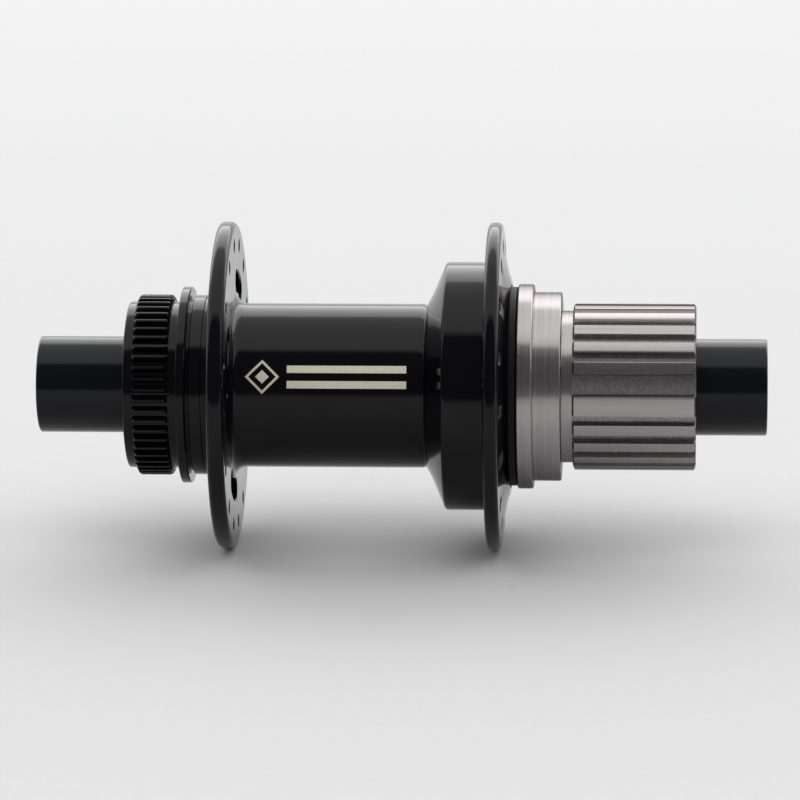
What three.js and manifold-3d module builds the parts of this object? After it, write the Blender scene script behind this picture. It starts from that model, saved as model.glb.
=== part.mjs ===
// Rear hub of a mountain bike: 12 mm thru-axle, 142 mm between the frame's dropouts, a splined
// seat for a disc rotor on the left and a splined body for the cassette on the right.
//
// Millimetres. The axle lies along Y, with +Y towards the rotor (left) side, +X forwards and +Z up,
// and the origin is the middle of the axle. Turned outlines are lists of [station, radius]. A station
// is the distance along the axle from the middle towards the cassette side, so Y = -station. Angles
// round the axle are in degrees from the rear (-X) up towards +Z, so they grow as the wheel rolls
// forwards, which is a positive turn about +Y.

import * as THREE from 'three';
import { mergeVertices } from 'three/addons/utils/BufferGeometryUtils.js';
import Module from 'manifold-3d';

const wasm = await Module();
wasm.setup();

// ---------------------------------------------------------------- driving dimensions

const OVER_CAPS = 142; // between the outer faces of the two end caps
const HALF = OVER_CAPS / 2;

const FIT = 0.08; // radial gap where one piece is pressed or slid onto another
const REST = 0.05; // gap between two faces that rest on each other
const EDGE = 0.4; // usual edge break on turned parts
const OVERRUN = 1; // how far a cutter runs past the face that it goes through

const SIDES = { large: 36, small: 24 }; // facets round the turned parts

const axleSize = { bore: 6.05, radius: 7.5, shoulder: 8.5, half: 60 };
const capSize = { radius: 9.4, nose: 9, noseLength: 0.9, edge: 0.6, boreEdge: 0.4 };
const ringGroove = { from: 56.4, to: 57.6, radius: 8.4 }; // for the O-ring inside each end cap
const capRing = { radius: 7.96, section: 0.34, steps: 5 };

// Cartridge bearings: 15 x 28 x 7 mm in the shell, 15 x 26 x 7 mm in the cassette body.
const shellBearing = { bore: 7.6, outer: 14, width: 7, inner: 9, land: 12.4, ball: 1.95 };
const bodyBearing = { bore: 7.6, outer: 13, width: 7, inner: 8.9, land: 11.7, ball: 1.75 };
const bearingAt = { shellLeft: -44, shellRight: 2.5, bodyInner: 12, bodyOuter: 47.5 };
const raceway = { outerGap: 0.3, innerGap: 0.2 };
const cageSize = { balls: 12, halfDepth: 0.65, halfWidth: 2.1 };
const sealSize = { inset: 0.15, width: 0.8, lipGap: 0.35, seatGap: 0.2 };

// Hub shell, from the rotor side to the cassette side.
const nose = { start: -53.4, radius: 16.25, recess: 14.75, recessEnd: -46 };
const rotorSpline = { start: -51.4, end: -44.8, tip: 17.65, teeth: 52, crest: 0.3, foot: 0.86 };
const rotorSeat = { start: -42.9, end: -41.1, radius: 19.2, bevel: 0.5 };
const seatRelief = { depth: 0.35, radius: 17.8 }; // undercut at the foot of the rotor's seat
const neck = { radius: 17.55, fillet: 1 };
const leftFlange = { outer: -35.85, inner: -32.5, radius: 31.95, edge: 0.9, foot: 2.4 };
const barrel = { radius: 16, end: 4.05, wallBore: 13.5, seatLip: 12.4, lipLength: 1.6 };
const groove = { station: 4.75, radius: 15.7 };
const cone = [[5.15, 16.45], [5.95, 18], [8.2, 23.35]];
const housing = { start: 8.8, end: 16.1, radius: 24.2, bore: 20.05, boreStart: 10.2 };
const rightFlange = { inner: 16.7, outer: 19.5, radius: 31.9, edge: 0.7, end: 21.25 };
const rightFace = [[19.8, 26.5], [20.65, 22.25], [21.25, 20.65]]; // dished outer face of the right flange

const spokes = { perFlange: 16, circle: 27.7, radius: 1.28, sides: 6, leftPhase: 90.4, rightPhase: 92.75 };
const windows = {
  count: 4, middle: 20.5, halfDepth: 2.22, halfSpan: 20, phase: 115.25, sideSteps: 4, endSteps: 3,
};

// Ratchet: an inward-toothed ring in the shell and six pawls on the cassette body.
const ratchet = { start: 10.6, end: 18.2, outer: 19.95, root: 18.3, tip: 17.2, teeth: 36, face: 0.3 };
const pawls = { count: 6, phase: 90, start: 12.05, end: 17.45, pocketGap: 0.15 };

// A pawl seen along the axle at the top of the hub: x forwards from the tooth it pushes, y outwards.
const heel = { x: -6, y: 14.6, radius: 1.1, socket: 1.25, steps: 6 };
const heelArc = { top: 100, under: -120, mouth: 15 }; // where the heel's and its socket's arcs end
const pawlTip = { x: -0.32, top: 17.9, bottom: 16.3 };
const pawlBack = [[-3.1, 16.7], [-5.1, 15.75]];
const pocketFloor = [[1, 14.75], [-3.8, 13.85]];
const pocketMouth = { right: 1.1, left: -7.2, y: 18.5 };
const leaf = { back: [-3, 14.06], front: [0.5, 14.9], thickness: 0.2 };

// Cassette body.
const carrier = { start: 11.2, end: 18.3, radius: 16.9, neck: 16.2 };
const flangeRing = { start: 22.65, end: 25.7, radius: 19.95 };
const stopRing = { end: 31.05, radius: 18.4, edge: 0.3 };
const spline = { start: 33.3, end: 57.2, tip: 16.2, root: 15, core: 14.85, bore: 14.4 };
const bodyBore = { seat: 13.05, waist: 12.2, lip: 11.3, lipLength: 1.5 };
const snapGroove = { from: 54.65, to: 55.75, radius: 13.6 };
const bodySeal = { start: 20.4, end: 22.55, inner: 16.3, outer: 19.4 };

// The cassette spline has one wide valley and one wide tooth, so that sprockets fit one way round.
const splineStart = 22.5; // upper edge of the wide valley
const wideValley = 15;
const wideTooth = 15;
const tooth = { crown: 8.8, valley: 6.2, count: 22, flank: 0.5 };

const snapRing = { inner: 12.1, outer: 13.5, gapAngle: 24, from: 54.7, to: 55.7 };
const covers = {
  left: { start: -46.6, end: -45.4, inner: 9.5, outer: 13.6 },
  right: { start: 55.85, end: 56.6, inner: 9.5, outer: 12.6 },
};
const spacerRadius = { short: 8.9, long: 8.8 };

const finishes = {
  blackGloss: { color: 0x0d0d10, roughness: 0.22, metalness: 0.9 },
  capBlack: { color: 0x0e0f13, roughness: 0.28, metalness: 0.9 },
  satinSilver: { color: 0xb4b1ad, roughness: 0.34, metalness: 1 },
  axleGrey: { color: 0x8d8f93, roughness: 0.4, metalness: 1 },
  bearingSteel: { color: 0x9a9ca0, roughness: 0.25, metalness: 1 },
  toolSteel: { color: 0x6d6e72, roughness: 0.35, metalness: 1 },
  springSteel: { color: 0xa5a7aa, roughness: 0.3, metalness: 1 },
  sealRubber: { color: 0x1a1a1b, roughness: 0.75, metalness: 0 },
  cageNylon: { color: 0xb9b2a0, roughness: 0.6, metalness: 0 },
};

// ---------------------------------------------------------------- helpers

const hub = new THREE.Group();

function addPiece(name, geometry, finish) {
  const mesh = new THREE.Mesh(geometry, new THREE.MeshStandardMaterial(finishes[finish]));
  mesh.name = name;
  hub.add(mesh);
  return mesh;
}

// A closed outline of [station, radius] corners turned round the axle.
function turned(outline, sides) {
  const points = outline.map(([station, radius]) => new THREE.Vector2(radius, -station));
  if (THREE.ShapeUtils.area(points) < 0) points.reverse();
  return new THREE.LatheGeometry([...points, points[0].clone()], sides);
}

// A plain ring with square corners.
function ring(from, to, inner, outer, sides) {
  return turned([[from, inner], [from, outer], [to, outer], [to, inner]], sides);
}

function polar(radius, angle) {
  const a = THREE.MathUtils.degToRad(angle);
  return new THREE.Vector2(-radius * Math.cos(a), radius * Math.sin(a));
}

function circle(radius, sides) {
  return Array.from({ length: sides }, (_, i) => polar(radius, (360 * i) / sides));
}

// Points along an arc round a centre, its angles measured as polar() measures them.
function arc(centre, radius, from, to, steps) {
  const angle = (i) => from + ((to - from) * i) / steps;
  return Array.from({ length: steps + 1 }, (_, i) => polar(radius, angle(i)).add(centre));
}

// A section seen along the axle (x forwards, y up), extruded from one station to another.
function prism(section, from, to) {
  const settings = { depth: to - from, bevelEnabled: false };
  return new THREE.ExtrudeGeometry(section, settings).translate(0, 0, from).rotateX(Math.PI / 2);
}

// Both outlines run the same way round, so the hole's is reversed.
function sectionRing(outer, inner) {
  const section = new THREE.Shape(outer);
  section.holes.push(new THREE.Path([...inner].reverse()));
  return section;
}

// The same geometry turned about the axle to each of several angles.
function turnedTo(geometry, angles) {
  return angles.map((angle) => geometry.clone().rotateY(THREE.MathUtils.degToRad(angle)));
}

function evenly(count, phase) {
  return Array.from({ length: count }, (_, i) => phase + (360 * i) / count);
}

function toSolid(geometry) {
  const bare = geometry.clone();
  bare.deleteAttribute('normal');
  bare.deleteAttribute('uv');
  const merged = mergeVertices(bare);
  const vertProperties = new Float32Array(merged.attributes.position.array);
  const triVerts = new Uint32Array(merged.index.array);
  return new wasm.Manifold(new wasm.Mesh({ numProp: 3, vertProperties, triVerts }));
}

function toGeometry(solid) {
  const { vertProperties, triVerts } = solid.getMesh();
  const geometry = new THREE.BufferGeometry();
  geometry.setAttribute('position', new THREE.BufferAttribute(vertProperties, 3));
  geometry.setIndex(new THREE.BufferAttribute(triVerts, 1));
  geometry.computeVertexNormals();
  return geometry;
}

function combine(base, added, removed) {
  let solid = toSolid(base);
  for (const geometry of added) solid = solid.add(toSolid(geometry));
  for (const geometry of removed) solid = solid.subtract(toSolid(geometry));
  return toGeometry(solid);
}

// ---------------------------------------------------------------- axle, end caps and spacers

function axle() {
  const { bore, radius, shoulder, half } = axleSize;
  const left = bearingAt.shellLeft + shellBearing.width + REST;
  const right = bearingAt.shellRight - REST;
  const outline = [
    [-half, bore], [-half, radius - EDGE], [EDGE - half, radius], [left, radius], [left, shoulder],
    [right, shoulder], [right, radius], [half - EDGE, radius], [half, radius - EDGE], [half, bore],
  ];
  return turned(outline, SIDES.small);
}

// The cap on one side (-1 left, 1 right). It slides over the axle end and bears on the last race.
function endCap(side, innerEnd) {
  const counterbore = axleSize.radius + FIT;
  const shoulder = axleSize.half + REST;
  const { radius, nose: tip, noseLength, edge, boreEdge } = capSize;
  const outline = [
    [innerEnd, counterbore], [innerEnd, tip], [innerEnd + noseLength, tip],
    [innerEnd + noseLength + EDGE, radius], [HALF - edge, radius], [HALF, radius - edge],
    [HALF, axleSize.bore + boreEdge], [HALF - boreEdge, axleSize.bore], [shoulder, axleSize.bore],
    [shoulder, counterbore], [ringGroove.to, counterbore], [ringGroove.to, ringGroove.radius],
    [ringGroove.from, ringGroove.radius], [ringGroove.from, counterbore],
  ];
  return turned(outline.map(([station, r]) => [side * station, r]), SIDES.small);
}

function capORing(side) {
  const { radius, section, steps } = capRing;
  const station = (side * (ringGroove.from + ringGroove.to)) / 2;
  const torus = new THREE.TorusGeometry(radius, section, steps, SIDES.small);
  return torus.rotateX(Math.PI / 2).translate(0, -station, 0);
}

function addAxleParts() {
  addPiece('axle', axle(), 'axleGrey');
  addPiece('left_end_cap', endCap(-1, REST - bearingAt.shellLeft), 'capBlack');
  const lastRace = bearingAt.bodyOuter + bodyBearing.width;
  addPiece('right_end_cap', endCap(1, lastRace + REST), 'capBlack');
  addPiece('left_cap_o_ring', capORing(-1), 'sealRubber');
  addPiece('right_cap_o_ring', capORing(1), 'sealRubber');
  for (const side of ['left', 'right']) {
    const { start, end, inner, outer } = covers[side];
    addPiece(`${side}_dust_cover`, ring(start, end, inner, outer, SIDES.small), 'sealRubber');
  }
  addSpacer('short_spacer', bearingAt.shellRight + shellBearing.width, bearingAt.bodyInner, 'short');
  addSpacer('long_spacer', bearingAt.bodyInner + bodyBearing.width, bearingAt.bodyOuter, 'long');
}

function addSpacer(name, from, to, size) {
  const bore = axleSize.radius + FIT;
  addPiece(name, ring(from + REST, to - REST, bore, spacerRadius[size], SIDES.small), 'axleGrey');
}

// ---------------------------------------------------------------- cartridge bearings

function addBearing(name, start, size) {
  const end = start + size.width;
  const middle = start + size.width / 2;
  const pitch = (size.inner + size.land) / 2;
  const outerGroove = pitch + size.ball + raceway.outerGap;
  const innerGroove = pitch - size.ball - raceway.innerGap;
  const outerRace = [
    [start, size.outer], [end, size.outer], [end, size.land], [middle, outerGroove], [start, size.land],
  ];
  const innerRace = [
    [start, size.bore], [end, size.bore], [end, size.inner], [middle, innerGroove], [start, size.inner],
  ];
  addPiece(`${name}_outer_race`, turned(outerRace, SIDES.small), 'bearingSteel');
  addPiece(`${name}_inner_race`, turned(innerRace, SIDES.small), 'bearingSteel');
  addPiece(`${name}_ball_cage`, ballCage(middle, pitch, size), 'cageNylon');

  const lip = size.inner + sealSize.lipGap;
  const rim = size.land - sealSize.seatGap;
  const near = start + sealSize.inset;
  const far = end - sealSize.inset - sealSize.width;
  addPiece(`${name}_left_seal`, ring(near, near + sealSize.width, lip, rim, SIDES.small), 'sealRubber');
  addPiece(`${name}_right_seal`, ring(far, far + sealSize.width, lip, rim, SIDES.small), 'sealRubber');
}

// The balls are held in the cage, so the two turn as one piece.
function ballCage(middle, pitch, size) {
  const { balls, halfDepth, halfWidth } = cageSize;
  const halfFacet = 180 / SIDES.small;
  const band = ring(
    middle - halfWidth, middle + halfWidth, pitch - halfDepth, pitch + halfDepth, SIDES.small,
  );
  const ball = new THREE.OctahedronGeometry(size.ball).translate(0, -middle, pitch);
  return combine(band, turnedTo(ball, evenly(balls, halfFacet)), []);
}

// ---------------------------------------------------------------- hub shell

function shellOutline() {
  const seatBore = shellBearing.outer + FIT;
  const leftSeatEnd = bearingAt.shellLeft + shellBearing.width;
  const flangeTop = leftFlange.radius;
  const rightTop = rightFlange.radius;
  const seatFoot = rotorSeat.start + seatRelief.depth;
  const noseAndSeat = [
    [nose.start, nose.radius - EDGE], [nose.start + EDGE, nose.radius],
    [seatFoot, nose.radius], [seatFoot, seatRelief.radius], [rotorSeat.start, seatRelief.radius],
    [rotorSeat.start, rotorSeat.radius],
    [rotorSeat.end - rotorSeat.bevel, rotorSeat.radius], [rotorSeat.end, rotorSeat.radius - rotorSeat.bevel],
    [rotorSeat.end, neck.radius], [leftFlange.outer - neck.fillet, neck.radius],
    [leftFlange.outer, neck.radius + neck.fillet],
  ];
  const left = [
    [leftFlange.outer, flangeTop - leftFlange.edge], [leftFlange.outer + leftFlange.edge, flangeTop],
    [leftFlange.inner - leftFlange.edge, flangeTop], [leftFlange.inner, flangeTop - leftFlange.edge],
    [leftFlange.inner, barrel.radius + leftFlange.foot],
    [leftFlange.inner + leftFlange.foot / 3, barrel.radius + leftFlange.foot / 3],
    [leftFlange.inner + leftFlange.foot, barrel.radius],
  ];
  const barrelAndHousing = [
    [barrel.end, barrel.radius], [groove.station, groove.radius], ...cone,
    [housing.start, housing.radius], [housing.end, housing.radius],
    [rightFlange.inner, housing.radius + rightFlange.edge],
  ];
  const right = [
    [rightFlange.inner, rightTop - rightFlange.edge], [rightFlange.inner + rightFlange.edge, rightTop],
    [rightFlange.outer - rightFlange.edge, rightTop], [rightFlange.outer, rightTop - rightFlange.edge],
    ...rightFace,
  ];
  const inside = [
    [rightFlange.end, housing.bore], [housing.boreStart, housing.bore], [housing.boreStart, seatBore],
    [bearingAt.shellRight, seatBore], [bearingAt.shellRight, barrel.seatLip],
    [bearingAt.shellRight - barrel.lipLength, barrel.seatLip],
    [bearingAt.shellRight - 2 * barrel.lipLength, barrel.wallBore],
    [leftSeatEnd + 2 * barrel.lipLength, barrel.wallBore],
    [leftSeatEnd + barrel.lipLength, barrel.seatLip],
    [leftSeatEnd, barrel.seatLip], [leftSeatEnd, seatBore], [nose.recessEnd, seatBore],
    [nose.recessEnd, nose.recess], [nose.start, nose.recess],
  ];
  return [...noseAndSeat, ...left, ...barrelAndHousing, ...right, ...inside];
}

// Teeth that the rotor's carrier slides onto, as a ring that sinks a little into the nose.
function rotorTeeth() {
  const { tip, teeth, crest, foot } = rotorSpline;
  const pitch = 360 / teeth;
  const outer = evenly(teeth, 0).flatMap((angle) => [
    polar(nose.radius - FIT, angle - (foot * pitch) / 2), polar(tip, angle - (crest * pitch) / 2),
    polar(tip, angle + (crest * pitch) / 2), polar(nose.radius - FIT, angle + (foot * pitch) / 2),
  ]);
  const inner = circle((nose.radius + nose.recess) / 2, SIDES.large);
  return prism(sectionRing(outer, inner), rotorSpline.start, rotorSpline.end);
}

function spokeHoles(flange, phase) {
  const middle = (flange.inner + flange.outer) / 2;
  const length = Math.abs(flange.outer - flange.inner) + 2 * OVERRUN;
  const drill = new THREE.CylinderGeometry(spokes.radius, spokes.radius, length, spokes.sides);
  drill.translate(-spokes.circle, -middle, 0);
  return turnedTo(drill, evenly(spokes.perFlange, phase));
}

// A kidney-shaped window with round ends, cut through the web of the left flange.
function flangeWindows() {
  const { middle, halfDepth, halfSpan, sideSteps, endSteps } = windows;
  const half = halfSpan - THREE.MathUtils.radToDeg(halfDepth / middle);
  const origin = new THREE.Vector2();
  const upperEnd = arc(polar(middle, half), halfDepth, half, half + 180, endSteps);
  const lowerEnd = arc(polar(middle, -half), halfDepth, 180 - half, 360 - half, endSteps);
  const points = [
    ...arc(origin, middle + halfDepth, -half, half, sideSteps), ...upperEnd.slice(1, -1),
    ...arc(origin, middle - halfDepth, half, -half, sideSteps), ...lowerEnd.slice(1, -1),
  ];
  const cutter = prism(new THREE.Shape(points), leftFlange.outer - OVERRUN, leftFlange.inner + OVERRUN);
  return turnedTo(cutter, evenly(windows.count, windows.phase));
}

function addShell() {
  const removed = [
    ...spokeHoles(leftFlange, spokes.leftPhase), ...spokeHoles(rightFlange, spokes.rightPhase),
    ...flangeWindows(),
  ];
  addPiece('hub_shell', combine(turned(shellOutline(), SIDES.large), [rotorTeeth()], removed), 'blackGloss');
}

// ---------------------------------------------------------------- ratchet and pawls

function addRatchetRing() {
  const { start, end, outer, root, tip, teeth, face } = ratchet;
  const saw = evenly(teeth, pawls.phase).flatMap((angle) => [polar(root, angle), polar(tip, angle + face)]);
  addPiece('ratchet_ring', prism(sectionRing(circle(outer, SIDES.large), saw), start, end), 'toolSteel');
}

function toPoints(pairs) {
  return pairs.map(([x, y]) => new THREE.Vector2(x, y));
}

function pawl() {
  const points = [
    ...toPoints([[pawlTip.x, pawlTip.bottom], [pawlTip.x, pawlTip.top], ...pawlBack]),
    ...arc(heel, heel.radius, heelArc.top, heelArc.under, heel.steps),
  ];
  return prism(new THREE.Shape(points), pawls.start, pawls.end);
}

function pawlPocket() {
  const { right, left, y } = pocketMouth;
  const points = [
    ...toPoints([[left, y], [right, y], ...pocketFloor]),
    ...arc(heel, heel.socket, heelArc.under, heelArc.mouth, heel.steps),
  ];
  return prism(new THREE.Shape(points), pawls.start - pawls.pocketGap, pawls.end + pawls.pocketGap);
}

// A thin leaf under the pawl, drawn pressed down as it is when the pawl is pushed in.
function leafSpring() {
  const { back, front, thickness } = leaf;
  const points = [back, front, [front[0], front[1] + thickness], [back[0], back[1] + thickness]];
  return prism(new THREE.Shape(toPoints(points)), pawls.start, pawls.end);
}

function addPawls() {
  evenly(pawls.count, 0).forEach((angle, i) => {
    const turn = THREE.MathUtils.degToRad(angle);
    addPiece(`pawl_${i + 1}`, pawl(), 'toolSteel').rotation.y = turn;
    addPiece(`pawl_spring_${i + 1}`, leafSpring(), 'springSteel').rotation.y = turn;
  });
}

// ---------------------------------------------------------------- cassette body

function bodyOutline() {
  const { seat, waist, lip, lipLength } = bodyBore;
  const innerSeatEnd = bearingAt.bodyInner + bodyBearing.width;
  const outside = [
    [carrier.start, seat], [carrier.start, carrier.radius - EDGE], [carrier.start + EDGE, carrier.radius],
    [carrier.end, carrier.radius], [carrier.end, carrier.neck], [flangeRing.start, carrier.neck],
    [flangeRing.start, flangeRing.radius], [flangeRing.end - EDGE, flangeRing.radius],
    [flangeRing.end, flangeRing.radius - EDGE], [flangeRing.end, stopRing.radius],
    [stopRing.end - stopRing.edge, stopRing.radius], [stopRing.end, stopRing.radius - stopRing.edge],
    [stopRing.end, spline.core], [spline.end, spline.core],
  ];
  const inside = [
    [spline.end, seat], [snapGroove.to, seat], [snapGroove.to, snapGroove.radius],
    [snapGroove.from, snapGroove.radius], [snapGroove.from, seat], [bearingAt.bodyOuter, seat],
    [bearingAt.bodyOuter, lip], [bearingAt.bodyOuter - lipLength, lip],
    [bearingAt.bodyOuter - 2 * lipLength, waist], [innerSeatEnd + 2 * lipLength, waist],
    [innerSeatEnd + lipLength, lip], [innerSeatEnd, lip], [innerSeatEnd, seat],
  ];
  return [...outside, ...inside];
}

// One tooth's section from its lower edge up: foot, crown with a middle point, and foot again.
function toothPoints(lower, width) {
  return [
    polar(spline.root, lower - tooth.flank), polar(spline.tip, lower + tooth.flank),
    polar(spline.tip, lower + width / 2), polar(spline.tip, lower + width - tooth.flank),
    polar(spline.root, lower + width + tooth.flank),
  ];
}

function cassetteSpline() {
  const wideLower = splineStart - wideValley - wideTooth;
  const points = toothPoints(wideLower, wideTooth);
  points.push(polar(spline.root, splineStart - wideValley / 2));
  for (let i = 0; i < tooth.count; i += 1) {
    points.push(...toothPoints(splineStart + i * (tooth.crown + tooth.valley), tooth.crown));
  }
  return prism(sectionRing(points, circle(spline.bore, SIDES.large)), spline.start, spline.end);
}

function addCassetteBody() {
  const pockets = turnedTo(pawlPocket(), evenly(pawls.count, 0));
  const body = combine(turned(bodyOutline(), SIDES.large), [cassetteSpline()], pockets);
  addPiece('freehub_body', body, 'satinSilver');
  const { start, end, inner, outer } = bodySeal;
  addPiece('freehub_seal', ring(start, end, inner, outer, SIDES.large), 'sealRubber');
  addSnapRing();
}

// A round ring with a gap, sprung into the groove outside the last bearing.
function addSnapRing() {
  const { inner, outer, gapAngle, from, to } = snapRing;
  const along = (radius) =>
    arc(new THREE.Vector2(), radius, gapAngle / 2, 360 - gapAngle / 2, SIDES.small);
  const section = new THREE.Shape([...along(outer), ...along(inner).reverse()]);
  addPiece('snap_ring', prism(section, from, to), 'springSteel');
}

// ---------------------------------------------------------------- the whole hub

addAxleParts();
addShell();
addBearing('left_shell_bearing', bearingAt.shellLeft, shellBearing);
addBearing('right_shell_bearing', bearingAt.shellRight, shellBearing);
addRatchetRing();
addCassetteBody();
addBearing('inner_freehub_bearing', bearingAt.bodyInner, bodyBearing);
addBearing('outer_freehub_bearing', bearingAt.bodyOuter, bodyBearing);
addPawls();

export default hub;
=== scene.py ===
"""Looks of a rear bicycle hub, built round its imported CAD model.

Lengths are millimetres unless a comment says otherwise, and MM turns them into metres.
Turned outlines are lists of (station, radius) or (station, radius, fillet). A station runs along the
axle from the middle of the hub towards the cassette side, so Y = -station. Angles round the axle are
in degrees from the rear (-X) up towards +Z.
"""

import math

import bmesh
import bpy
import numpy as np
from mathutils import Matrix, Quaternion, Vector


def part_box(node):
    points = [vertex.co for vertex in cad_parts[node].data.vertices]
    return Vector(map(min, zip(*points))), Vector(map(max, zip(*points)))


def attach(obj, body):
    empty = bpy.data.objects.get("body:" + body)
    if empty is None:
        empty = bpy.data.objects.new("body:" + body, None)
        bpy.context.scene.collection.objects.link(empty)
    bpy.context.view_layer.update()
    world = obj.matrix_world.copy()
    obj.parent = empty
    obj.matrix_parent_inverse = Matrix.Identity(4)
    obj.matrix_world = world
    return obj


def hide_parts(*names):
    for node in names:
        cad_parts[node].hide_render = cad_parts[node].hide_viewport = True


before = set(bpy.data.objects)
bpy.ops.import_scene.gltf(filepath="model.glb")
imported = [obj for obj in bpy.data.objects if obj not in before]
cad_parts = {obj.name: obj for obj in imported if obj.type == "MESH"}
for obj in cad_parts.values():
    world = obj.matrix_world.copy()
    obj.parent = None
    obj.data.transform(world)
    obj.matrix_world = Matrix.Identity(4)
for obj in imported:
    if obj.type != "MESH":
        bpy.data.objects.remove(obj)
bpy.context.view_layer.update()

MM = 0.001
SMOOTH_BELOW = math.radians(32)  # edges sharper than this stay crisp
NEARLY_STRAIGHT = math.radians(89)  # half the angle of a corner that is too flat to round


# ---------------------------------------------------------------- places taken from the frame


def span(node):
    """(first station, last station, largest radius) of a CAD node."""
    low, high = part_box(node)
    return -high.y / MM, -low.y / MM, high.z / MM


NOSE_START, SHELL_END, FLANGE_TOP = span("hub_shell")
BODY_START, BODY_END, BODY_TOP = span("freehub_body")
FLOOR_Z = -FLANGE_TOP * MM  # metres: the hub rests on the rims of its flanges


# ---------------------------------------------------------------- mesh helpers


def rounded(corners, steps=4):
    """A closed outline with each corner (station, radius, fillet) turned into an arc."""
    points = []
    for i, corner in enumerate(corners):
        here = Vector(corner[:2])
        fillet = corner[2] if len(corner) > 2 else 0
        back = Vector(corners[i - 1][:2]) - here
        ahead = Vector(corners[(i + 1) % len(corners)][:2]) - here
        half = back.angle(ahead) / 2
        if fillet <= 0 or half > NEARLY_STRAIGHT:
            points.append(tuple(here))
            continue
        reach = min(fillet / math.tan(half), 0.49 * back.length, 0.49 * ahead.length)
        start = here + back.normalized() * reach
        end = here + ahead.normalized() * reach
        centre = here + (back.normalized() + ahead.normalized()).normalized() * reach / math.cos(half)
        sweep = (start - centre).angle(end - centre)
        for k in range(steps + 1):
            from_start = math.sin((1 - k / steps) * sweep)
            from_end = math.sin(k / steps * sweep)
            spoke = ((start - centre) * from_start + (end - centre) * from_end) / math.sin(sweep)
            points.append(tuple(centre + spoke))
    return points


def mirrored(side, corners):
    """The corners on the right of the hub for side 1, or carried over to the left for side -1."""
    return [(side * station, *rest) for station, *rest in corners]


def near_and_far(side, first, last):
    """A piece's ends as distances from the hub's middle, the nearer one first."""
    return (first, last) if side > 0 else (-last, -first)


def even_angles(count, phase=0.0):
    return [phase + 360 * i / count for i in range(count)]


def polar(radius, angle):
    """(x, z) of a point at a radius and an angle round the axle."""
    a = math.radians(angle)
    return (-radius * math.cos(a), radius * math.sin(a))


def make_mesh(name, vertices, faces):
    mesh = bpy.data.meshes.new(name)
    mesh.from_pydata(vertices, [], faces)
    mesh.validate()
    obj = bpy.data.objects.new(name, mesh)
    bpy.context.scene.collection.objects.link(obj)
    return obj


def outward(obj):
    """Turns every face of a closed mesh to look out."""
    work = bmesh.new()
    work.from_mesh(obj.data)
    bmesh.ops.recalc_face_normals(work, faces=work.faces)
    work.to_mesh(obj.data)
    work.free()
    return obj


def skin(name, loops, closed):
    """A solid through loops of (x, y, z) points: a closed ring of loops, or a bar with flat ends."""
    count, levels = len(loops[0]), len(loops)
    vertices = (np.array(loops, float) * MM).reshape(-1, 3)
    level, k = np.meshgrid(np.arange(levels if closed else levels - 1), np.arange(count), indexing="ij")
    ahead = ((level + 1) % levels) * count
    corners = [level * count + k, ahead + k, ahead + (k + 1) % count, level * count + (k + 1) % count]
    faces = np.stack(corners, axis=-1).reshape(-1, 4).tolist()
    if not closed:
        faces += [list(range(count)), list(range(len(vertices) - count, len(vertices)))]
    return outward(make_mesh(name, vertices.tolist(), faces))


def revolve(name, outline, angles, radius_at=None, closed=True):
    """The closed outline turned through the angles. radius_at(station, radius, angle) changes radii."""
    turns = np.array(angles, float)[:, None]
    stations = np.array([[p[0] for p in outline]])
    radii = np.repeat(np.array([[p[1] for p in outline]]), len(angles), axis=0)
    if radius_at:
        radii = radius_at(stations, radii, turns)
    turns = np.radians(turns)
    along = np.repeat(-stations, len(angles), axis=0)
    loops = np.stack([-radii * np.cos(turns), along, radii * np.sin(turns)], axis=-1)
    return skin(name, loops, closed)


def loft(name, sections):
    """A bar through sections of (station, [(x, z), ...])."""
    return skin(name, [[(x, -station, z) for x, z in points] for station, points in sections], False)


def join(name, objects):
    """One object holding all of these meshes."""
    vertices, faces = [], []
    for obj in objects:
        base = len(vertices)
        vertices += [tuple(v.co) for v in obj.data.vertices]
        faces += [tuple(base + k for k in p.vertices) for p in obj.data.polygons]
        bpy.data.objects.remove(obj)
    return make_mesh(name, vertices, faces)


def apply_modifiers(obj):
    bpy.context.view_layer.update()
    graph = bpy.context.evaluated_depsgraph_get()
    mesh = bpy.data.meshes.new_from_object(obj.evaluated_get(graph))
    obj.modifiers.clear()
    old, obj.data = obj.data, mesh
    bpy.data.meshes.remove(old)
    mesh.name = obj.name


def cut(obj, cutters):
    step = obj.modifiers.new("cut", "BOOLEAN")
    step.operation = "DIFFERENCE"
    step.solver = "MANIFOLD"
    step.object = join("cutters", cutters)
    apply_modifiers(obj)
    bpy.data.objects.remove(bpy.data.objects["cutters"])


def ease_edges(obj, width):
    """Rounds every sharp edge a little."""
    step = obj.modifiers.new("ease", "BEVEL")
    step.width = width * MM
    step.segments = 2
    step.limit_method = "ANGLE"
    step.angle_limit = SMOOTH_BELOW
    apply_modifiers(obj)


def smooth(obj):
    """Smooth shading, crisp at real edges, with flat faces kept flat."""
    obj.data.polygons.foreach_set("use_smooth", [True] * len(obj.data.polygons))
    obj.data.set_sharp_from_angle(angle=SMOOTH_BELOW)
    weights = obj.modifiers.new("weights", "WEIGHTED_NORMAL")
    weights.keep_sharp = True
    apply_modifiers(obj)


def place(obj, body, slot, node=None):
    """Finishes a piece: its shading and material, the body it rides on and the CAD node it replaces."""
    smooth(obj)
    obj.data.materials.clear()
    obj.data.materials.append(MATERIALS[slot])
    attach(obj, body)
    if node:
        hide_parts(node)


# ---------------------------------------------------------------- materials

PRINT_ANGLE = 19.5  # where the print faces, round the barrel
PRINT_SOFT = 0.05
PRINT_INK = (0.60, 0.585, 0.46, 1.0)
DIAMOND_STATION, DIAMOND_OUTLINE, DIAMOND_HEART = -26.3, (2.7, 3.3), 1.3
BAR_START, BAR_END, BAR_HEIGHTS, BAR_HALF_WIDTH = -21.5, 1.5, (1.5, -1.5), 0.7

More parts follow.
